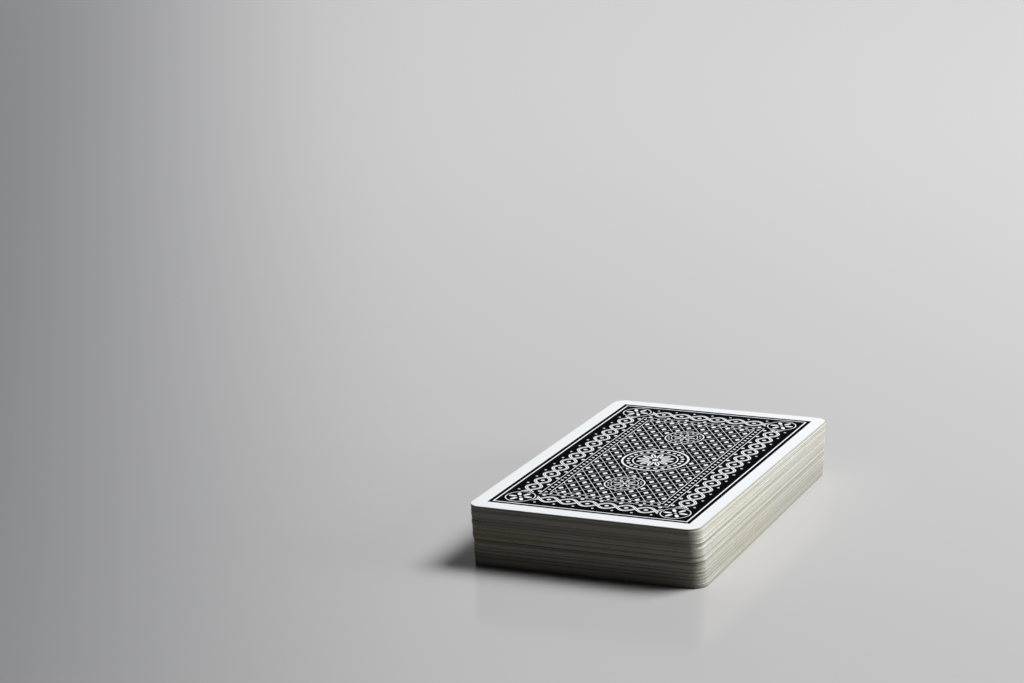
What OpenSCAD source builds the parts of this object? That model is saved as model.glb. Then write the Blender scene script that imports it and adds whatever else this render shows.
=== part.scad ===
// A pack of bridge-size playing cards, squared by hand and lying face down.
// Every card is a loose piece: a flat sheet with round corners in a layer of its own.
// The long side runs along Y, and the pack is centred over the origin, which lies on its lower face.

/* [Card] */
// Width of a card, across its short side
card_w = 57; // [50:0.5:75]
// Length of a card, along its long side
card_l = 88; // [76:0.5:105]
// Thickness of the coated card stock
card_t = 0.25; // [0.2:0.01:0.5]
// Radius of the four corners
corner_r = 3.2; // [1:0.1:10]

/* [Pack] */
// Number of jokers on top of the four suits
joker_count = 2; // [0:1:4]
// Film of air that the finish leaves between one card and the next
air_film = 0.01; // [0.01:0.005:0.05]

/* [Lean of the pack] */
// Slip of the lowest card against the highest, along the short side
lean_x = -0.1; // [-3:0.1:3]
// Slip of the lowest card against the highest, along the long side
lean_y = -0.5; // [-3:0.1:3]
// Turn of the lowest card against the highest, in degrees
lean_turn = 1.2; // [-4:0.1:4]

/* [Last cut] */
// Number of cards below the line where the pack was last cut
cut_cards = 24; // [1:1:51]
// How far the cards below the cut stand back from those above, along the long side
cut_slip_y = 0.3; // [-2:0.05:2]
// The same along the short side
cut_slip_x = 0.05; // [-2:0.05:2]

/* [Stray card] */
// Place of the card that stands out of the pack, counted down from the top
stray_place = 14; // [1:1:51]
// How far it stands out, along the short side
stray_slip_x = 0.1; // [-2:0.05:2]
// How far it is turned against its neighbours, in degrees
stray_turn = 0.15; // [-2:0.05:2]

/* [Hand squaring] */
// Most cards that a shuffle leaves lying together as one bundle
bundle_cards = 4; // [2:1:13]
// How far a bundle may stand out of line
bundle_slip = 0.05; // [0:0.01:1]
// How far a bundle may be turned, in degrees
bundle_turn = 0.06; // [0:0.02:1]
// How far a card may stand out of its bundle
card_slip = 0.04; // [0:0.01:0.5]
// How far a card may be turned in its bundle, in degrees
card_turn = 0.05; // [0:0.01:0.5]
// Which shuffle the pack came out of
shuffle = 7; // [1:1:99]

/* [Hidden] */
// Facets of a corner's circle, where it is drawn as a mesh
$fn = 64;

// From one to thirteen, as the names of the cards give them
ranks = [
    "ace", "two", "three", "four", "five", "six", "seven",
    "eight", "nine", "ten", "jack", "queen", "king"
];
// Suits from the lowest in the pack to the highest, and whether the ace lies lowest in each
suits = [["hearts", true], ["clubs", true], ["diamonds", false], ["spades", false]];

NODES = [
    for (suit = suits)
        for (k = [0 : len(ranks) - 1])
            str(ranks[suit[1] ? k : len(ranks) - 1 - k], "_of_", suit[0]),
    for (j = [1 : 1 : joker_count])
        str("joker_", j)
];

card_count = len(NODES);
top_card = card_count - 1;
stray_card = card_count - stray_place;
layer = card_t + air_film;

// Measures that hand squaring leaves uneven: slip along x, slip along y and turn
measures = 3;
// Random shares of each measure, from -1 to 1, for every bundle and then for every card
bundle_shares = rands(-1, 1, measures * card_count, shuffle);
card_shares = rands(-1, 1, measures * card_count, shuffle + 1);

// Share of the lean that the card at place i has: all of it at the bottom, none at the top
function lean_share(i) = 1 - i / top_card;

// What hand squaring leaves of measure m at place i, with the most that a bundle and a card may have
function loose(i, m, of_bundle, of_card) =
    of_bundle * bundle_shares[measures * floor(i / bundle_cards) + m]
    + of_card * card_shares[measures * i + m];

function slip_x(i) =
    lean_x * lean_share(i)
    + (i < cut_cards ? cut_slip_x : 0)
    + (i == stray_card ? stray_slip_x : 0)
    + loose(i, 0, bundle_slip, card_slip);

function slip_y(i) =
    lean_y * lean_share(i)
    + (i < cut_cards ? cut_slip_y : 0)
    + loose(i, 1, bundle_slip, card_slip);

function turn(i) =
    lean_turn * lean_share(i)
    + (i == stray_card ? stray_turn : 0)
    + loose(i, 2, bundle_turn, card_turn);

// Half of the room that the card at place i takes along x and along y, round corners and all
corner_x = card_w / 2 - corner_r;
corner_y = card_l / 2 - corner_r;
function reach_x(i) = corner_x * abs(cos(turn(i))) + corner_y * abs(sin(turn(i))) + corner_r;
function reach_y(i) = corner_y * abs(cos(turn(i))) + corner_x * abs(sin(turn(i))) + corner_r;

// Middle of the whole pack's box, which is set over the origin
places = [0 : top_card];
left = min([for (i = places) slip_x(i) - reach_x(i)]);
right = max([for (i = places) slip_x(i) + reach_x(i)]);
near = min([for (i = places) slip_y(i) - reach_y(i)]);
far = max([for (i = places) slip_y(i) + reach_y(i)]);
middle = [(left + right) / 2, (near + far) / 2];

// Outline of one card: two crossed rectangles and a circle at each corner
module card_outline() {
    square([2 * corner_x, card_l], center = true);
    square([card_w, 2 * corner_y], center = true);
    for (x = [-corner_x, corner_x], y = [-corner_y, corner_y])
        translate([x, y])
            circle(corner_r);
}

// One card at place i, counted from 0 at the bottom of the pack
module playing_card(i) {
    color("ivory")
        translate([slip_x(i) - middle.x, slip_y(i) - middle.y, i * layer])
            rotate([0, 0, turn(i)])
                linear_extrude(card_t)
                    card_outline();
}

for (i = places)
    playing_card(i);
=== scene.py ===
import math
import bpy
import numpy as np
from mathutils import Matrix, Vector
from mathutils.geometry import delaunay_2d_cdt


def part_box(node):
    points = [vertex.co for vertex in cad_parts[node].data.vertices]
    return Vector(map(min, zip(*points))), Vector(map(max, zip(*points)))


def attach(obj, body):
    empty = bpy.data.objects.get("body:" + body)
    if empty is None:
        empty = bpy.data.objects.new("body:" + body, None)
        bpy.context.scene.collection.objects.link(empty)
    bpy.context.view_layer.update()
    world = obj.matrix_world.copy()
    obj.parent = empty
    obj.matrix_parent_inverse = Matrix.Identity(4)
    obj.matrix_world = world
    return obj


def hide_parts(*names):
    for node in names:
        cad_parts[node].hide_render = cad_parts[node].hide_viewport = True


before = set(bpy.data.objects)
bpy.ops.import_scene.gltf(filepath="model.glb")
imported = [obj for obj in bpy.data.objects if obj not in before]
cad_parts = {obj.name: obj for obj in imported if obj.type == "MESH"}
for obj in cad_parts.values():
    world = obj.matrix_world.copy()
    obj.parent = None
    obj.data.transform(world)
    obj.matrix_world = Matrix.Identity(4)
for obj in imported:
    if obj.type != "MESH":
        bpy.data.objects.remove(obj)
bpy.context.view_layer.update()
bpy.context.scene.view_settings.view_transform = "Standard"
millimetre = 0.001
print("frame loaded,", len(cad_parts), "cards")


class Socket:
    # Wraps one output of a tree of shader nodes. An expression on these adds the Math nodes it needs.
    def __init__(self, tree, link=None):
        self.tree, self.link = tree, link

    # Any node: its type, its settings, then the values or links of its sockets
    def node(self, kind, settings=None, sockets=None, out=0):
        made = self.tree.nodes.new("ShaderNode" + kind)
        for name, value in (settings or {}).items():
            setattr(made, name, value)
        for name, value in (sockets or {}).items():
            if isinstance(value, Socket):
                self.tree.links.new(value.link, made.inputs[name])
            else:
                made.inputs[name].default_value = value
        return Socket(self.tree, made.outputs[out]) if len(made.outputs) else made

    # Another output of the same node
    def other(self, out):
        return Socket(self.tree, self.link.node.outputs[out])

    def maths(self, operation, *values, clamp=False):
        return self.node("Math", {"operation": operation, "use_clamp": clamp}, dict(enumerate(values)))

    def __add__(self, other):
        return self.maths("ADD", self, other)

    def __radd__(self, other):
        return self.maths("ADD", other, self)

    def __sub__(self, other):
        return self.maths("SUBTRACT", self, other)

    def __rsub__(self, other):
        return self.maths("SUBTRACT", other, self)

    def __mul__(self, other):
        return self.maths("MULTIPLY", self, other)

    def __rmul__(self, other):
        return self.maths("MULTIPLY", other, self)

    def __truediv__(self, other):
        return self.maths("DIVIDE", self, other)

    def __rtruediv__(self, other):
        return self.maths("DIVIDE", other, self)

    def __lt__(self, other):
        return self.maths("LESS_THAN", self, other)

    def __abs__(self):
        return self.maths("ABSOLUTE", self)

    def sin(self):
        return self.maths("SINE", self)

    def cos(self):
        return self.maths("COSINE", self)

    def sqrt(self):
        return self.maths("SQRT", self)

    def fract(self):
        return self.maths("FRACT", self)

    def clamped(self):
        return self.maths("ADD", self, 0.0, clamp=True)

    def atLeast(self, other):
        return self.maths("MAXIMUM", self, other)

    def atMost(self, other):
        return self.maths("MINIMUM", self, other)

    def angle(self, other):
        return self.maths("ARCTAN2", self, other)


# Empty material, with a bare wrapper to start its nodes from
def newMaterial(name):
    material = bpy.data.materials.new(name)
    material.use_nodes = True
    material.node_tree.nodes.clear()
    return material, Socket(material.node_tree)


# Colour a where the share is 0, colour b where it is 1
def tint(paint, share, a, b):
    return paint.node("Mix", {"data_type": "RGBA"}, {0: share, 6: a, 7: b}, out=2)


# Noise in the material's own place, finer as the scale rises
def noise(paint, place, scale, detail):
    sockets = {"Vector": place, "Scale": scale, "Detail": detail}
    return paint.node("TexNoise", {"noise_dimensions": "3D"}, sockets)


# Distance of a place from a middle, in shares of a reach along each axis: 1 on that ellipsoid
def shareAway(paint, place, middle, reaches):
    off = paint.node("VectorMath", {"operation": "SUBTRACT"}, {0: place, 1: middle})
    share = paint.node("VectorMath", {"operation": "DIVIDE"}, {0: off, 1: reaches})
    return paint.node("VectorMath", {"operation": "LENGTH"}, {0: share}, out="Value")


# Length of the vector (a, b)
def reach(a, b):
    return (a * a + b * b).sqrt()


# Distance to the nearest whole number of steps, in the value's own unit
def fold(value, step):
    return abs((value / step + 0.5).fract() - 0.5) * step


# Box of a card and the turn of its longest wall, whose normal lies along the card's short side
def cardPlace(node):
    low, high = (np.array(corner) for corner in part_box(node))
    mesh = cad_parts[node].data
    normals, areas = np.empty(3 * len(mesh.polygons)), np.empty(len(mesh.polygons))
    mesh.polygons.foreach_get("normal", normals)
    mesh.polygons.foreach_get("area", areas)
    normals = normals.reshape(-1, 3)
    longest = np.argmax(np.where(abs(normals[:, 2]) < 0.5, areas, 0))  # of the upright walls
    turn = math.atan2(normals[longest, 1], normals[longest, 0])
    turn -= math.pi * round(turn / math.pi)
    return low, high, turn


# The camera sees the top card as the photograph does: it looks at the middle of that card's back from an
# azimuth and elevation, rolled about its line of sight, then moved sideways and up in its own plane.
photoView = dict(topCard="joker_2", azimuth=26.02, elevation=15.35, roll=-2.6, sideways=-33.97, upward=28.31,
                 distance=672.3, focalPixels=2818.2, imageWidth=1024, sensor=36.0, clip=(0.01, 50))


# Matrix of something at a spot that looks against the direction back. Its columns are right, up, back and the
# spot: right starts level, and right and up turn by roll.
def lookMatrix(spot, back, roll=0.0):
    back = back / np.linalg.norm(back)
    level = np.cross([0, 0, 1], back)
    level /= np.linalg.norm(level)
    upright = np.cross(back, level)
    right = math.cos(roll) * level + math.sin(roll) * upright
    up = math.cos(roll) * upright - math.sin(roll) * level
    place = np.eye(4)
    place[:3, :4] = np.stack([right, up, back, spot], 1)
    return place


# Camera at sideways, upward and distance along its own right, up and back axes from the middle of the back
def makeCamera(view):
    low, high, turn = cardPlace(view["topCard"])
    azimuth, elevation = math.radians(view["azimuth"]) + turn, math.radians(view["elevation"])
    back = np.array([math.sin(azimuth) * math.cos(elevation), -math.cos(azimuth) * math.cos(elevation),
                     math.sin(elevation)])
    place = lookMatrix([0, 0, 0], back, math.radians(view["roll"]))
    target = np.append((low + high)[:2] / 2, high[2])
    moved = np.array([view["sideways"], view["upward"], view["distance"]]) * millimetre
    place[:3, 3] = target + place[:3, :3] @ moved
    data = bpy.data.cameras.new("photoCamera")
    data.sensor_fit, data.sensor_width = "HORIZONTAL", view["sensor"]
    data.lens = view["focalPixels"] / view["imageWidth"] * view["sensor"]
    data.clip_start, data.clip_end = view["clip"]
    camera = bpy.data.objects.new("photoCamera", data)
    bpy.context.scene.collection.objects.link(camera)
    camera.matrix_world = Matrix(place.tolist())
    bpy.context.scene.camera = camera


makeCamera(photoView)
print("camera set")

# One card: a sheet with round corners and softened edges, in mm about its own middle
cardShape = dict(cornerRadius=3.2, softEdge=0.06, cornerSteps=12, longSteps=20, shortSteps=14, softSteps=3,
                 backRings=(0.3, 0.65))


# Width and length of a card from the top one's box, whose sides are the turned corner middles and a radius at
# each end
def cardSize():
    low, high, turn = cardPlace(photoView["topCard"])
    radius = cardShape["cornerRadius"]
    half = (high - low)[:2] / 2 / millimetre - radius
    cosine, sine = math.cos(turn), abs(math.sin(turn))
    corner = np.linalg.solve([[cosine, sine], [sine, cosine]], half)
    return 2 * (corner + radius)


cardWidth, cardLength = cardSize()
print("cards are", round(cardWidth, 2), "by", round(cardLength, 2), "mm")

# Print on the back, in mm in from the edge of the card: rules, a braid with a roundel in each corner, beads,
# and a trellis with three roundels on the long axis. Roundels are radius, petals and whether they have beads.
# The print lies a little off the middle of the card and a little short of its ends.
backPrint = dict(
    softness=0.05, shift=(0.15, 0.2), endGap=0.13, margin=3.48, outerRule=4.39, braidFrom=4.75, braidTo=12.4,
    beadsFrom=12.6, beadsTo=14.4, fieldFrom=14.6, braidAt=9.2, braidSwing=1.75, strand=0.37, vein=0.06,
    longEyes=14, shortEyes=8, eyeDot=0.5, sideDot=0.3, innerDot=0.46, sideDotAt=2.65, beadPitch=1.8,
    beadRadius=0.36, trellisWide=3.7, trellisTall=5.2, trellisLine=0.065, stud=0.18, studHardness=2,
    cornerRoundel=(3.7, 6, False), middleRoundel=(8.4, 12, True), sideRoundel=(5.0, 8, True),
    sideRoundelAt=18.6, roundelGap=0.3, white=(0.875, 0.905, 0.93, 1), black=(0.002, 0.0025, 0.004, 1),
    rim=(0.42, 0.375, 0.27, 1), rimReach=0.2, rimSoftness=0.2, rimShade=(0.15, 0.45), smudgeScale=90.0,
    grainScale=2600.0, grainBump=0.12, grainDepth=0.00002, roughness=(0.34, 0.16), gloss=0.001)

# Parts of a roundel in shares of its radius: where each lies and half its width. A petal also has how much it
# is narrowed, and the vein in it has half its length before half its width.
roundelParts = dict(ring=(0.94, 0.032), beads=(0.78, 0.055), thinRing=(0.64, 0.018), hub=0.09,
                    veinedPetal=(0.36, 0.16, 2.2), plainPetal=(0.52, 0.23, 1.9), petalStretch=0.85,
                    vein=(0.34, 0.12, 0.018))


# Ring, beads, thin ring and a flower, from the distance and angle about a roundel's middle. A petal is an
# ellipse about a middle of its own.
def roundel(make, away, angle, radius, petals, beaded, ink):
    step = 2 * math.pi / petals
    spread = fold(angle, step) * away

    def hoop(at, half):  # from half inside its distance to half outside
        return ink(abs(away - at * radius) - half * radius)

    def petal(at, half, narrow):
        return ink(reach(spread * narrow, (away - at * radius) * make["petalStretch"]) - half * radius)

    figure = hoop(*make["ring"])
    if beaded:
        beadsAt, beadRadius = make["beads"]
        toBead = reach(fold(angle + step / 4, step / 2) * away, away - beadsAt * radius)
        figure = figure.atLeast(ink(toBead - beadRadius * radius)).atLeast(hoop(*make["thinRing"]))
        veinAt, veinLength, veinWidth = make["vein"]
        vein = ink(spread - veinWidth * radius) * hoop(veinAt, veinLength)
        flower = petal(*make["veinedPetal"]) * (1 - vein)
    else:
        flower = petal(*make["plainPetal"])
    return figure.atLeast(flower).atLeast(ink(away - make["hub"] * radius))


# The print as distances in mm: a figure is white where its distance is below nothing, and of figures that lie
# over each other the whitest counts
def backMaterial(make):
    material, paint = newMaterial("printedBack")
    x = paint.node("SeparateXYZ", {}, {0: paint.node("UVMap", {"uv_map": "cardPlace"})})
    y = x.other(1)
    fromEdge = (cardWidth / 2 - abs(x)).atMost(cardLength / 2 - abs(y))
    x, y = x - make["shift"][0], y - make["shift"][1]

    def ink(distance):  # 1 where the distance is below nothing, with a soft rim
        return paint.maths("MULTIPLY_ADD", distance, -1 / make["softness"], 0.5, clamp=True)

    def band(value, low, high):  # 1 from low to high
        return ink(abs(value - (low + high) / 2) - (high - low) / 2)

    across, along = cardWidth / 2 - abs(x), cardLength / 2 - make["endGap"] - abs(y)
    inset = across.atMost(along)
    onLongSide = across < along
    run = abs(x) + (abs(y) - abs(x)) * onLongSide  # from the middle of the side

    # braid: two waves that cross between one eye and the next
    braidMiddle = make["braidAt"]
    longEye = (cardLength - 2 * make["endGap"] - 2 * braidMiddle) / make["longEyes"]
    shortEye = (cardWidth - 2 * braidMiddle) / make["shortEyes"]
    eye = shortEye + (longEye - shortEye) * onLongSide
    phase = run / eye * math.pi
    wave = make["braidSwing"] * phase.sin()
    off = inset - braidMiddle
    slope = phase.cos() * (make["braidSwing"] * math.pi) / eye
    strand = abs(off - wave).atMost(abs(off + wave)) / (1 + slope * slope).sqrt()
    eyeDot = ink(reach(fold(run - eye / 2, eye), off) - make["eyeDot"])
    dotSize = make["innerDot"] + (make["sideDot"] - make["innerDot"]) * (off < 0)
    sideDot = ink(reach(fold(run, eye), abs(off) - make["sideDotAt"]) - dotSize)
    braid = (ink(strand - make["strand"]) * (1 - ink(strand - make["vein"]))).atLeast(eyeDot).atLeast(sideDot)
    beadMiddle = (make["beadsFrom"] + make["beadsTo"]) / 2
    toBead = fold(run - make["beadPitch"] / 2, make["beadPitch"])
    bead = ink(reach(toBead, inset - beadMiddle) - make["beadRadius"])

    # trellis: two families of slanting lines with a stud in each cell
    wide, tall = x / make["trellisWide"], y / make["trellisTall"]
    one, two = wide + tall, wide - tall
    toLine = fold(one, 1).atMost(fold(two, 1)) / math.hypot(1 / make["trellisWide"], 1 / make["trellisTall"])
    stud = ink((fold(one - 0.5, 1).atLeast(fold(two - 0.5, 1)) - make["stud"]) * make["studHardness"])
    trellis = ink(toLine - make["trellisLine"]).atLeast(stud)

    white = ink(inset - make["margin"]).atLeast(band(inset, make["outerRule"], make["braidFrom"]))
    white = white.atLeast(braid * band(inset, make["braidFrom"], make["braidTo"]))
    white = white.atLeast(band(inset, make["braidTo"], make["beadsFrom"])).atLeast(bead)
    white = white.atLeast(band(inset, make["beadsTo"], make["fieldFrom"]))
    white = white.atLeast(trellis * ink(make["fieldFrom"] - inset))

    # roundels lie over what is below them
    cornerX = abs(x) - (cardWidth / 2 - braidMiddle)
    cornerY = abs(y) - (cardLength / 2 - make["endGap"] - braidMiddle)
    roundels = ((cornerX, cornerY, make["cornerRoundel"]), (x, y, make["middleRoundel"]),
                (x, abs(y) - make["sideRoundelAt"], make["sideRoundel"]))
    for a, b, (radius, petals, beaded) in roundels:
        away = reach(a, b)
        flower = roundel(roundelParts, away, b.angle(a), radius, petals, beaded, ink)
        white = white + (flower - white) * ink(away - radius - make["roundelGap"])

    # a rim darkened by painted shade, mottled by the rubs, and faint rubs in the varnish
    place = paint.node("TexCoord", {}, {}, out="Object")
    smudge = noise(paint, place, make["smudgeScale"], detail=4.0)
    grain = noise(paint, place, make["grainScale"], detail=2.0)
    atRim = ink((fromEdge - make["rimReach"]) * make["rimSoftness"])
    wornAndShaded = atRim * (make["rimShade"][0] + smudge * make["rimShade"][1])
    colour = tint(paint, wornAndShaded, tint(paint, white, make["black"], make["white"]), make["rim"])
    relief = {"Strength": make["grainBump"], "Distance": make["grainDepth"], "Height": grain}
    bump = paint.node("Bump", {}, relief)
    rough = make["roughness"][0] + smudge * make["roughness"][1]
    shader = paint.node("BsdfPrincipled", {}, {"Base Color": colour, "Roughness": rough, "Normal": bump,
                                               "Specular IOR Level": make["gloss"]})
    paint.node("OutputMaterial", {}, {"Surface": shader})
    return material


# Cut edge of the stock: cream paper with a grey core, fibres, specks, a yellowed place where the pack is
# held, a painted shade in the slot at one corner, and painted shade where one card meets the next. Streaks
# and specks are drawn out along the cards.
cutEdge = dict(
    clean=(0.92, 0.92, 0.845, 1), wornAndShaded=(0.47, 0.45, 0.375, 1), grimeAndShade=(0.15, 0.135, 0.1, 1),
    core=(0.5, 0.5, 0.46, 1), olive=(0.68, 0.63, 0.33, 1), slotShade=(0.05, 0.045, 0.035, 1),
    streakScale=(30.0, 30.0, 3800.0), streakShare=0.38, coreSlope=3.5, coreShare=0.25, stainScale=45.0,
    stainSlope=2.2, stainShare=0.3, heldAt=(-0.022, -0.0445, 0.0074), heldReach=(0.018, 0.006, 0.0024),
    heldSlope=1.3, heldShare=0.55, speckScale=(900.0, 900.0, 3800.0), speckFrom=0.66, speckSlope=8.0,
    speckShare=0.4, creviceFrom=0.65, creviceSlope=3.0, creviceShare=0.8, slotShadeAt=(-0.0285, -0.0435, 0.01053),
    slotShadeReach=(0.0042, 0.004, 0.0002), slotShadeSlope=2.5, fibreScale=5200.0, fibreBump=0.2, fibreDepth=0.00003,
    roughness=0.75)


# Layers of colour, each laid over the last by a share that rises with a slope and stops at 0 and 1
def edgeMaterial(make):
    material, paint = newMaterial("cutEdge")
    tone = paint.node("Attribute", {"attribute_name": "tone"}, {}, out="Fac")
    level = paint.node("Attribute", {"attribute_name": "level"}, {}, out="Fac")  # face -1, back 1
    place = paint.node("TexCoord", {}, {}, out="Object")
    drawn = paint.node("Mapping", {}, {"Vector": place, "Scale": make["streakScale"]})
    streak = noise(paint, drawn, scale=1.0, detail=3.0)
    fibre = noise(paint, place, make["fibreScale"], detail=2.0)
    stain = noise(paint, place, make["stainScale"], detail=2.0)
    # the tone holds wear and painted shade that darkens the edges towards the bottom of the pack
    wearAndShade = (tone + (streak - 0.5) * make["streakShare"]).clamped()
    colour = tint(paint, wearAndShade, make["clean"], make["wornAndShaded"])
    inCore = (1 - abs(level) * make["coreSlope"]).clamped()
    colour = tint(paint, inCore * make["coreShare"], colour, make["core"])
    stained = ((stain - 0.5) * make["stainSlope"]).clamped()
    colour = tint(paint, stained * make["stainShare"], colour, make["olive"])
    held = ((1 - shareAway(paint, place, make["heldAt"], make["heldReach"])) * make["heldSlope"]).clamped()
    colour = tint(paint, held * make["heldShare"], colour, make["olive"])
    flattened = paint.node("Mapping", {}, {"Vector": place, "Scale": make["speckScale"]})
    speck = noise(paint, flattened, scale=1.0, detail=1.0)
    speck = ((speck - make["speckFrom"]) * make["speckSlope"]).clamped()
    colour = tint(paint, speck * make["speckShare"], colour, make["grimeAndShade"])
    # painted shade where one card meets the next, laid in the grime colour and deeper on darker cards
    creviceShade = ((abs(level) - make["creviceFrom"]) * make["creviceSlope"]).clamped()
    colour = tint(paint, creviceShade * (tone * make["creviceShare"]).clamped(), colour, make["grimeAndShade"])
    # tones above 1 lay on grime; on the lowest card and the one below the cut this is painted shadow
    colour = tint(paint, (tone - 1).clamped(), colour, make["grimeAndShade"])
    # painted shade in the recess at the stray card's near corner
    slotShade = ((1 - shareAway(paint, place, make["slotShadeAt"], make["slotShadeReach"])) * make["slotShadeSlope"]).clamped()
    colour = tint(paint, slotShade, colour, make["slotShade"])
    relief = {"Strength": make["fibreBump"], "Distance": make["fibreDepth"], "Height": fibre}
    bump = paint.node("Bump", {}, relief)
    shader = paint.node("BsdfPrincipled", {}, {"Base Color": colour, "Roughness": make["roughness"],
                                               "Normal": bump})
    paint.node("OutputMaterial", {}, {"Surface": shader})
    return material


# Face of a card: coated white stock, or ink on it
faceFinish = dict(stock=(0.88, 0.88, 0.865, 1), red=(0.56, 0.018, 0.02, 1), black=(0.02, 0.02, 0.022, 1),
                  mottle=0.86, mottleScale=900.0, roughness=(0.32, 0.1), ior=1.4)


# One colour that mottles towards a darker one, rougher where it is darker
def faceMaterial(name, colour):
    material, paint = newMaterial(name)
    place = paint.node("TexCoord", {}, {}, out="Object")
    mottle = noise(paint, place, faceFinish["mottleScale"], detail=3.0)
    shade = tuple(faceFinish["mottle"] * part for part in colour[:3]) + (1,)
    rough = faceFinish["roughness"][0] + mottle * faceFinish["roughness"][1]
    shader = paint.node("BsdfPrincipled", {}, {"Base Color": tint(paint, mottle, colour, shade),
                                               "Roughness": rough, "IOR": faceFinish["ior"]})
    paint.node("OutputMaterial", {}, {"Surface": shader})
    return material


# Signs on the faces, in mm as seen with the card upright. Rows are shares of rowReach: those of the two side
# columns, then those of the middle one.
faceLayout = dict(
    columnAt=10.0, rowReach=28.5, signHeight=9.6, aceHeight=26.0, indexAt=(-24.2, 37.6), indexHeight=6.2,
    indexSignAt=29.6, indexSignHeight=5.0, panel=(16.4, 35.0), panelLine=0.4, emblemAt=15.5,
    emblemHeight=23.0, panelSignAt=(-12.0, 29.6), starHeight=34.0, starPoints=8,
    indexPoints=5, steps=36,
    rows={1: ((), (0,)), 2: ((), (1, -1)), 3: ((), (1, 0, -1)), 4: ((1, -1), ()), 5: ((1, -1), (0,)),
          6: ((1, 0, -1), ()), 7: ((1, 0, -1), (0.5,)), 8: ((1, 0, -1), (0.5, -0.5)),
          9: ((1, 1 / 3, -1 / 3, -1), (0,)), 10: ((1, 1 / 3, -1 / 3, -1), (2 / 3, -2 / 3))})
rankNames = ("ace", "two", "three", "four", "five", "six", "seven", "eight", "nine", "ten", "jack", "queen",
             "king")
rankLabels = ("A", "2", "3", "4", "5", "6", "7", "8", "9", "10", "J", "Q", "K")
circle = np.arange(faceLayout["steps"]) * 2 * math.pi / faceLayout["steps"]


# Twice the area inside an outline: the sum of x times the next y less y times the next x, positive if it
# turns left
def twiceArea(outline):
    after = np.roll(outline, -1, 0)
    return np.sum(outline[:, 0] * after[:, 1] - outline[:, 1] * after[:, 0])


# Polar curve about a middle: radius as a function of the angle, turned to points
def polar(radius, middle=(0, 0)):
    return np.stack([radius * np.cos(circle), radius * np.sin(circle)], 1) + middle


# Signs in shares of their height: how a heart becomes a spade, the foot, a club's leaves and the knot between
# them, half of a diamond and how far its sides are drawn in, and the star
signShape = dict(
    spadeScale=(0.82, -0.8), spadeLift=(0, 0.1), stem=0.03, flare=0.17, footTall=0.5, footSteps=10,
    leaf=0.235, leavesAt=((0, 0.265), (-0.25, -0.07), (0.25, -0.07)), knot=0.12, knotAt=(0, 0.03),
    diamond=(0.38, 0.5), drawnIn=2.2, starTip=0.5, starHollow=0.21)


# Foot of a spade or club: half its width is a thin stem plus a fourth power that flares at the bottom
def signFoot(make):
    down = np.linspace(0, 1, make["footSteps"])
    half = make["stem"] + make["flare"] * down ** 4
    right = np.stack([half, -make["footTall"] * down], 1)
    return np.concatenate([right, right[::-1] * [-1, 1]])


# Suit signs one unit tall. The heart is 16 sine cubed across, 13 cosine less smaller cosines up; a spade is a
# heart upside down on a foot; a club is three discs on a foot; a diamond is a circle drawn in to four points.
def suitSign(suit, make):
    across = 16 * np.sin(circle) ** 3
    up = 13 * np.cos(circle) - 5 * np.cos(2 * circle) - 2 * np.cos(3 * circle) - np.cos(4 * circle) + 2.5
    heart = np.stack([across, up], 1) / 29
    if suit == "hearts":
        return [heart]
    if suit == "spades":
        return [heart * make["spadeScale"] + make["spadeLift"], signFoot(make)]
    if suit == "clubs":
        leaves = [polar(make["leaf"], middle) for middle in make["leavesAt"]]
        return leaves + [polar(make["knot"], make["knotAt"]), signFoot(make)]
    swing = np.stack([np.cos(circle), np.sin(circle)], 1)
    return [make["diamond"] * np.sign(swing) * abs(swing) ** make["drawnIn"]]


# Star one unit tall: the radius swings between its points and its hollows
def starSign(points, make):
    corners = np.arange(2 * points)
    angle = corners * math.pi / points + math.pi / 2
    radius = np.where(corners % 2, make["starHollow"], make["starTip"])
    return [np.stack([radius * np.cos(angle), radius * np.sin(angle)], 1)]


# Emblems of the court cards, in shares of their height
emblemShape = dict(
    crownHalf=0.46, crownPoints=9, crownTip=0.3, crownHollow=-0.02, crownBase=((-0.36, -0.28), (0.36, -0.28)),
    crownBand=((-0.38, -0.46), (0.38, -0.46), (0.37, -0.34), (-0.37, -0.34)), bead=0.05, beadLift=(0, 0.07),
    petals=8, flowerRadius=0.38, flowerSwing=0.12, shieldHalf=0.4, shieldTop=0.45, shieldTall=0.95,
    shieldPower=0.6, shieldSteps=12)


# A crown of spikes with a bead on each and a band below, a flower whose radius swings once for each petal,
# and a shield that narrows as a cosine does
def courtEmblem(rank, make):
    if rank == "king":
        points = np.arange(make["crownPoints"])
        across = np.linspace(-make["crownHalf"], make["crownHalf"], len(points))
        spikes = np.stack([across, np.where(points % 2, make["crownHollow"], make["crownTip"])], 1)
        crown = np.concatenate([make["crownBase"], spikes[::-1]])
        beads = [polar(make["bead"], tip + make["beadLift"]) for tip in spikes[::2]]
        return [crown, np.array(make["crownBand"])] + beads
    if rank == "queen":
        return [polar(make["flowerRadius"] + make["flowerSwing"] * np.cos(make["petals"] * circle))]
    down = np.linspace(0, 1, make["shieldSteps"])
    half = make["shieldHalf"] * np.cos(down * math.pi / 2) ** make["shieldPower"]
    right = np.stack([half, make["shieldTop"] - make["shieldTall"] * down], 1)
    return [np.concatenate([right, (right * [-1, 1])[-2::-1]])]


# Corner numbers and letters: steps of a curve, how much bolder they are, and twice the area of a triangle
# that is too thin to print
labelShape = dict(curveSteps=3, bolder=0.012, sliver=1e-4)


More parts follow.
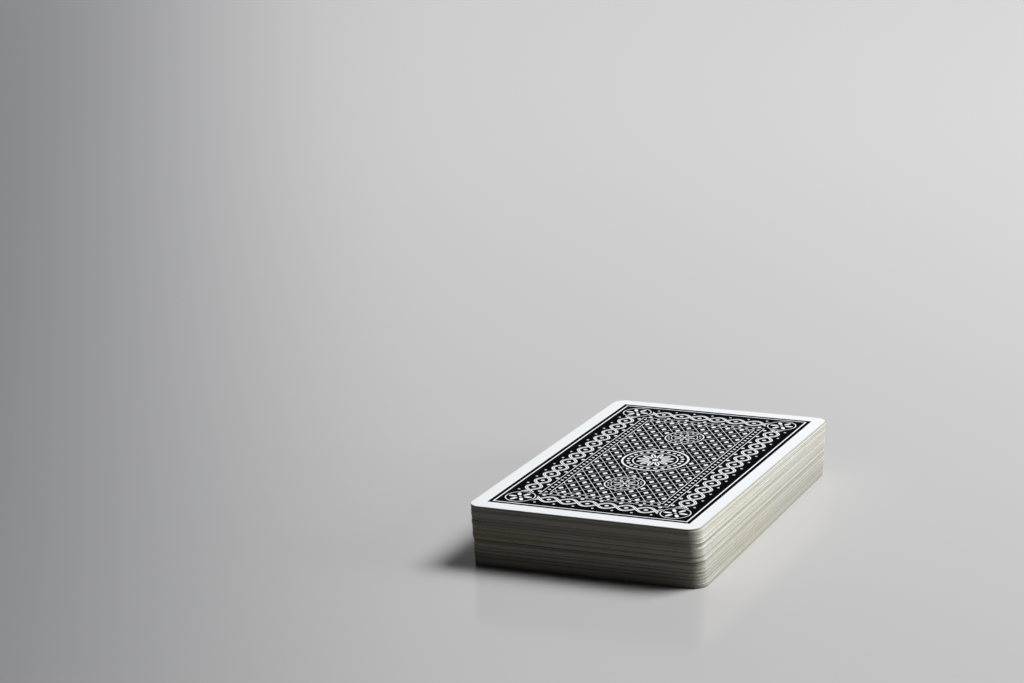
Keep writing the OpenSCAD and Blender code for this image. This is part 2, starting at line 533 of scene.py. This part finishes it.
# Triangles of a label in the built-in font, about its own middle and one unit tall
def labelOutlines(text, make):
    curve = bpy.data.curves.new("label", "FONT")
    curve.body, curve.resolution_u, curve.offset = text, make["curveSteps"], make["bolder"]
    holder = bpy.data.objects.new("label", curve)
    mesh = bpy.data.meshes.new_from_object(holder)
    mesh.calc_loop_triangles()
    spots, triangles = np.empty(3 * len(mesh.vertices)), np.empty(3 * len(mesh.loop_triangles), np.int32)
    mesh.vertices.foreach_get("co", spots)
    mesh.loop_triangles.foreach_get("vertices", triangles)
    spots = spots.reshape(-1, 3)[:, :2]
    low, high = spots.min(0), spots.max(0)
    spots = (spots - (low + high) / 2) / (high - low)[1]
    bpy.data.objects.remove(holder)
    bpy.data.meshes.remove(mesh)
    triangles = spots[triangles.reshape(-1, 3)]
    return [corners for corners in triangles if abs(twiceArea(corners)) > make["sliver"]]


# Outlines at a place and height. Below the middle of the card they stand on their heads.
def setAt(outlines, place, height, headDown=False):
    return [(-outline if headDown else outline) * height + np.array(place) for outline in outlines]


# The same outlines at a place and, on their heads, at the place across the card's middle
def setTwice(outlines, place, height):
    return setAt(outlines, place, height) + setAt(outlines, (-place[0], -place[1]), height, True)


# Everything printed on one card's face, in the card's own axes: seen from below, so left and right change
# places
def facePrint(card, make):
    if card.startswith("joker"):
        prints = setAt(starSign(make["starPoints"], signShape), (0, 0), make["starHeight"])
        prints += setTwice(starSign(make["indexPoints"], signShape), make["indexAt"], make["indexHeight"])
    else:
        rank, suit = card.split("_of_")
        number, sign = rankNames.index(rank) + 1, suitSign(suit, signShape)
        label = labelOutlines(rankLabels[number - 1], labelShape)
        prints = setTwice(label, make["indexAt"], make["indexHeight"])
        prints += setTwice(sign, (make["indexAt"][0], make["indexSignAt"]), make["indexSignHeight"])
        if number in make["rows"]:
            sides, middles = make["rows"][number]
            places = [(side * make["columnAt"], row) for side in (-1, 1) for row in sides]
            places += [(0, row) for row in middles]
            height = make["aceHeight"] if number == 1 else make["signHeight"]
            for across, row in places:
                prints += setAt(sign, (across, row * make["rowReach"]), height, row < 0)
        else:
            emblem = courtEmblem(rank, emblemShape)
            prints += setTwice(emblem, (0, make["emblemAt"]), make["emblemHeight"])
            prints += setTwice(sign, make["panelSignAt"], make["indexSignHeight"])
            wide, tall = make["panel"]
            box = np.array([[-1, -1], [1, -1], [1, 1], [-1, 1]]) / 2
            line = make["panelLine"]
            for middle, size in (((0, tall), (2 * wide, line)), ((wide, 0), (line, 2 * tall))):
                prints += [box * size + middle, box * size - middle]
    mirrored = [outline * [-1, 1] for outline in prints]
    return [outline if twiceArea(outline) > 0 else outline[::-1] for outline in mirrored]


# Outline as anchors and outward directions: a point d inside the edge is anchor + (radius - d) * direction.
# At a corner the direction swings a quarter turn about a still anchor; along a side the anchor runs on.
def cardOutline(shape):
    corner = np.array([cardWidth, cardLength]) / 2 - shape["cornerRadius"]
    signs = np.array([[1, 1], [-1, 1], [-1, -1], [1, -1]])
    anchors, angles = [], []
    for quarter in range(4):
        here, there = signs[quarter] * corner, signs[(quarter + 1) % 4] * corner
        swing = np.linspace(quarter, quarter + 1, shape["cornerSteps"] + 1) * math.pi / 2
        steps = shape["longSteps"] if quarter % 2 else shape["shortSteps"]
        share = np.linspace(0, 1, steps + 1)[1:-1, None]
        anchors += [np.repeat(here[None], len(swing), 0), here + (there - here) * share]
        angles += [swing, np.full(steps - 1, swing[-1])]
    angles = np.concatenate(angles)
    return np.concatenate(anchors), np.stack([np.cos(angles), np.sin(angles)], 1)


# Rows from near the middle of the back, over the softened edge, to the rim of the face. On the back a row is
# the rim shrunk towards the middle; at the edge it is the outline set in by softEdge times 1 - sine and sunk
# by softEdge times 1 - cosine.
def cardRows(shape, thick):
    anchors, directions = cardOutline(shape)
    swing = np.linspace(0, math.pi / 2, shape["softSteps"] + 1)
    inset, sunk = shape["softEdge"] * (1 - np.sin(swing)), shape["softEdge"] * (1 - np.cos(swing))
    insets = np.concatenate([inset, inset[::-1]])
    rim = anchors[None] + (shape["cornerRadius"] - insets)[:, None, None] * directions[None]
    rings = np.array(shape["backRings"])[:, None, None] * rim[0][None]
    rows = np.concatenate([rings, rim])
    heights = np.concatenate([np.full(len(rings), thick), thick - sunk, sunk[::-1]])
    return np.concatenate([rows, np.repeat(heights[:, None, None], rows.shape[1], 1)], 2)


# Quads between rows of points that close on themselves, and a fan from the pole to the first row
def closedRows(rowCount, count, pole):
    column = np.arange(count)
    after = (column + 1) % count
    start = np.arange(rowCount - 1)[:, None] * count
    quads = np.stack([start + column, start + count + column, start + count + after, start + after], 2)
    return quads.reshape(-1, 4), np.stack([np.full(count, pole), column, after], 1)


# Triangles of the face between its rim and the prints, with a mark for those that are inked. A point of the
# rim keeps its number, and any other gets -1.
def faceTriangles(rim, prints):
    outlines = [rim] + prints
    ends = np.cumsum([len(outline) for outline in outlines])
    loops = [list(range(end - len(outline), end)) for outline, end in zip(outlines, ends)]
    corners = np.concatenate(outlines).tolist()
    inside, tolerance = 1, 1e-6  # only the triangles inside the rim
    found, _, triangles, sources, _, owners = delaunay_2d_cdt(corners, [], loops, inside, tolerance)
    inked = np.array([any(owner > 0 for owner in group) for group in owners])
    onRim = np.array([min(source, default=len(rim)) for source in sources])
    onRim = np.where(onRim < len(rim), onRim, -1)
    return np.array(found), np.array(triangles), onRim, inked


# Flat map of a card for baking: the back and the face side by side, and the edge as a strip above them
bakeMap = dict(edge=0.006, half=0.482, faceFrom=0.512, tall=0.92, stripFrom=0.945, stripTall=0.048)


# One card: rows of points round its outline, closed by a fan on the back and by the triangles of the face.
# Its wear and painted shade are the tone of its long sides and that of its ends.
def makeCard(node, wearAndShade, materials, prints):
    low, high, turn = cardPlace(node)
    thick = (high - low)[2] / millimetre
    rows = cardRows(cardShape, thick)
    rowCount, count = rows.shape[:2]
    ringCount, pole = len(cardShape["backRings"]), rowCount * count
    quads, fan = closedRows(rowCount, count, pole)
    onEdge = np.repeat(np.arange(rowCount - 1) >= ringCount, count)

    # the face shares the last row's points
    found, triangles, onRim, inked = faceTriangles(rows[-1, :, :2], prints)
    fresh = onRim < 0
    index = np.where(fresh, pole + np.cumsum(fresh), onRim + (rowCount - 1) * count)
    face = index[triangles][:, ::-1]
    faceSpots = np.concatenate([found[fresh], np.zeros((fresh.sum(), 1))], 1)
    spots = np.concatenate([rows.reshape(-1, 3), [[0, 0, thick]], faceSpots])

    # turn it about its middle and bring it to its place
    cosine, sine = math.cos(turn), math.sin(turn)
    placed = spots @ np.array([[cosine, sine, 0], [-sine, cosine, 0], [0, 0, 1]]) * millimetre
    placed += np.append((low + high)[:2] / 2, low[2])
    mesh = bpy.data.meshes.new(node + "_sheet")
    mesh.from_pydata(placed.tolist(), [], fan.tolist() + quads.tolist() + face.tolist())
    for material in materials:
        mesh.materials.append(material)
    slots = np.concatenate([np.zeros(count, int), onEdge.astype(int), np.where(inked, 3, 2)])
    mesh.polygons.foreach_set("material_index", slots.astype(np.int32))
    mesh.polygons.foreach_set("use_smooth", slots == 1)

    # place on the card in mm, level through the stock, and the tone, which changes round a corner
    corners = np.concatenate([fan.ravel(), quads.ravel(), face.ravel()])
    flat = spots[corners, :2]
    mesh.uv_layers.new(name="cardPlace").uv.foreach_set("vector", flat.astype(np.float32).ravel())
    level = mesh.attributes.new("level", "FLOAT", "POINT")
    level.data.foreach_set("value", (spots[:, 2] / thick * 2 - 1).astype(np.float32))
    tones = mesh.attributes.new("tone", "FLOAT", "POINT")
    radius = cardShape["cornerRadius"]
    onEnd = np.clip((abs(spots[:, 1]) - cardLength / 2) / radius + 1, 0, 1)  # 0 on a long side, 1 on an end
    tones.data.foreach_set("value", (wearAndShade[0] + (wearAndShade[1] - wearAndShade[0]) * onEnd).astype(np.float32))

    # bake map: back and face as they lie, the edge by row and column
    part = np.concatenate([np.repeat(slots[:count + len(quads)], np.repeat([3, 4], [count, len(quads)])),
                           np.full(face.size, 2)])
    share = flat / [cardWidth, cardLength] + 0.5
    baked = bakeMap["edge"] + share * [bakeMap["half"], bakeMap["tall"]]
    faced = np.stack([bakeMap["faceFrom"] + (1 - share[:, 0]) * bakeMap["half"], baked[:, 1]], 1)
    steps = np.array([[0, 0], [1, 0], [1, 1], [0, 1]])  # row and column of a quad's corners
    first = np.stack(np.divmod(np.arange(len(quads)), count), 1)
    spot = (first[:, None] + steps - [ringCount, 0]) / [rowCount - 1 - ringCount, count]
    strip = np.stack([bakeMap["edge"] + spot[..., 1] * (1 - 2 * bakeMap["edge"]),
                      bakeMap["stripFrom"] + spot[..., 0] * bakeMap["stripTall"]], 2).reshape(-1, 2)
    strip = np.concatenate([np.zeros((fan.size, 2)), strip, np.zeros((face.size, 2))])
    chosen = np.where((part == 1)[:, None], strip, np.where((part == 2)[:, None], faced, baked))
    mesh.uv_layers.new(name="OFBake").uv.foreach_set("vector", chosen.astype(np.float32).ravel())
    mesh.update()

    card = bpy.data.objects.new(node + "_sheet", mesh)
    bpy.context.scene.collection.objects.link(card)
    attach(card, node)
    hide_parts(node)


# Tones of the cut edges, 0 clean, 1 worn and above that grimy; they also carry painted shade. The usual tone
# falls from the lowest card to the highest, a painted shade that darkens the edges towards the bottom of the
# pack; each bundle of cards that was handled together strays from that, and each card from its bundle. They
# stray less on the long sides than on the ends. Some places have a tone of their own: the lowest, darkened as
# a painted shadow along the foot of the pack; either side of the cut, the card just below it darkened as a
# painted shadow under the upper packet; the stray card and the top.
edgeTones = dict(seed=11, bundle=4, middle=0.47, bottomShade=0.36, bundleSpread=0.11, cardSpread=0.32,
                 sideShare=0.65, endShare=1.5,
                 own={0: 1.11, 22: 0.62, 23: 1.38, 24: 0.24, 25: 0.32, 40: 0.7, 52: 0.5, 53: 0.85})


# All the cards from the lowest up. A card's tone is the usual one at its height plus a share of its stray.
def makePack(make):
    back, edge = backMaterial(backPrint), edgeMaterial(cutEdge)
    stock = faceMaterial("faceStock", faceFinish["stock"])
    red, black = faceMaterial("redInk", faceFinish["red"]), faceMaterial("blackInk", faceFinish["black"])
    names = sorted(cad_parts, key=lambda name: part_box(name)[0][2])
    draw = np.random.default_rng(make["seed"])
    bundles, cards = draw.uniform(-1, 1, len(names)), draw.uniform(-1, 1, len(names))
    trend = make["middle"] + make["bottomShade"] * np.linspace(1, -1, len(names))
    bundleOf = np.arange(len(names)) // make["bundle"]
    strays = make["bundleSpread"] * bundles[bundleOf] + make["cardSpread"] * cards
    for place, name in enumerate(names):
        inkUsed = red if name.endswith(("hearts", "diamonds", "joker_1")) else black
        usual, stray = trend[place], strays[place]
        if place in make["own"]:
            usual, stray = make["middle"], make["own"][place] - make["middle"]
        wearAndShade = [max(usual + make[share] * stray, 0) for share in ("sideShare", "endShare")]
        makeCard(name, wearAndShade, (back, edge, stock, inkUsed), facePrint(name, faceLayout))


makePack(edgeTones)
print("cards made")

# Table: a pale, slightly glossy sheet out to the horizon, which falls into shade on one side. It keeps back
# most of the light that it would throw up.
table = dict(radius=6.0, rings=24, rounds=96, pale=(0.59, 0.587, 0.59, 1), shady=(0.253, 0.257, 0.276, 1),
             shadeWay=(-0.859, -0.513, 0.0), paleAt=0.037, shadyAt=0.206, roughness=0.15, ior=1.5,
             bounce=(0.125, 0.123, 0.115, 1))


# How far a place lies along a way, from 0 at one distance to 1 at another, eased at both
def wayShare(paint, place, way, first, last):
    along = paint.node("VectorMath", {"operation": "DOT_PRODUCT"}, {0: place, 1: way}, out="Value")
    return paint.node("MapRange", {"interpolation_type": "SMOOTHSTEP"}, {0: along, 1: first, 2: last})


# Rings about the middle whose radius grows as the square of their number
def makeTable(make):
    radius = make["radius"] * (np.arange(1, make["rings"] + 1) / make["rings"]) ** 2
    angle = np.arange(make["rounds"]) * 2 * math.pi / make["rounds"]
    spots = np.stack([np.outer(radius, np.cos(angle)), np.outer(radius, np.sin(angle)),
                      np.zeros((make["rings"], make["rounds"]))], 2).reshape(-1, 3)
    quads, fan = closedRows(make["rings"], make["rounds"], len(spots))
    mesh = bpy.data.meshes.new("table")
    mesh.from_pydata(spots.tolist() + [[0, 0, 0]], [], fan.tolist() + quads.tolist())
    material, paint = newMaterial("paleTable")
    place = paint.node("TexCoord", {}, {}, out="Object")
    shade = wayShare(paint, place, make["shadeWay"], make["paleAt"], make["shadyAt"])
    pale = paint.node("BsdfPrincipled", {}, {"Base Color": tint(paint, shade, make["pale"], make["shady"]),
                                             "Roughness": make["roughness"], "IOR": make["ior"]})
    dim = paint.node("BsdfDiffuse", {}, {"Color": make["bounce"]})
    seen = paint.node("LightPath", {}, {}, out="Is Camera Ray")
    seen = seen.atLeast(seen.other("Is Glossy Ray"))
    paint.node("OutputMaterial", {}, {"Surface": paint.node("MixShader", {}, {0: seen, 1: dim, 2: pale})})
    mesh.materials.append(material)
    sheet = bpy.data.objects.new("table", mesh)
    bpy.context.scene.collection.objects.link(sheet)


# Light: a large soft lamp high behind on the right, and a low one on the right. The room is dark for the
# cards, and a pale wall for the camera. In the table's gloss the wall falls into shade on the same side as
# the table.
keyLamp = dict(name="keyLamp", spot=(0.7, 0.54, 1.25), size=0.75, power=28.2, inGloss=True)
sideLamp = dict(name="sideLamp", spot=(1.15, 0.3, 0.35), size=0.5, power=3.9, inGloss=False)
room = dict(dim=(0.005, 0.0045, 0.004, 1), wall=(0.8, 0.8, 0.81, 1), glossPale=(1, 1, 1, 1),
            glossShady=(0.35, 0.355, 0.38, 1), shadeWay=(-0.851, -0.525, 0.0), paleAt=-0.093, shadyAt=0.122,
            dimFrom=0.112, dimAt=0.418, dimmest=(0.155, 0.157, 0.16, 1))


# Square lamp that looks at the middle of the table
def makeLamp(make):
    data = bpy.data.lights.new(make["name"], "AREA")
    data.shape, data.size, data.energy = "SQUARE", make["size"], make["power"]
    lamp = bpy.data.objects.new(make["name"], data)
    lamp.visible_glossy = make["inGloss"]  # a low lamp would show as a white patch on the table
    bpy.context.scene.collection.objects.link(lamp)
    spot = np.array(make["spot"])
    lamp.matrix_world = Matrix(lookMatrix(spot, spot).tolist())


# World: dark for the cards, a pale wall for the camera, and graded by its direction in the table's gloss
def makeRoom(make):
    world = bpy.data.worlds.new("room")
    bpy.context.scene.world = world
    world.use_nodes = True
    world.node_tree.nodes.clear()
    paint = Socket(world.node_tree)
    way = paint.node("TexCoord", {}, {}, out="Generated")
    shade = wayShare(paint, way, make["shadeWay"], make["paleAt"], make["shadyAt"])
    seen = paint.node("LightPath", {}, {}, out="Is Camera Ray")
    light = tint(paint, seen, make["dim"], make["wall"])
    upward = wayShare(paint, way, (0.0, 0.0, 1.0), make["dimFrom"], make["dimAt"])
    gloss = tint(paint, upward, tint(paint, shade, make["glossPale"], make["glossShady"]), make["dimmest"])
    sky = paint.node("Background", {}, {"Color": tint(paint, seen.other("Is Glossy Ray"), light, gloss)})
    paint.node("OutputWorld", {}, {"Surface": sky})


makeTable(table)
makeLamp(keyLamp)
makeLamp(sideLamp)
makeRoom(room)
print("table and light made")
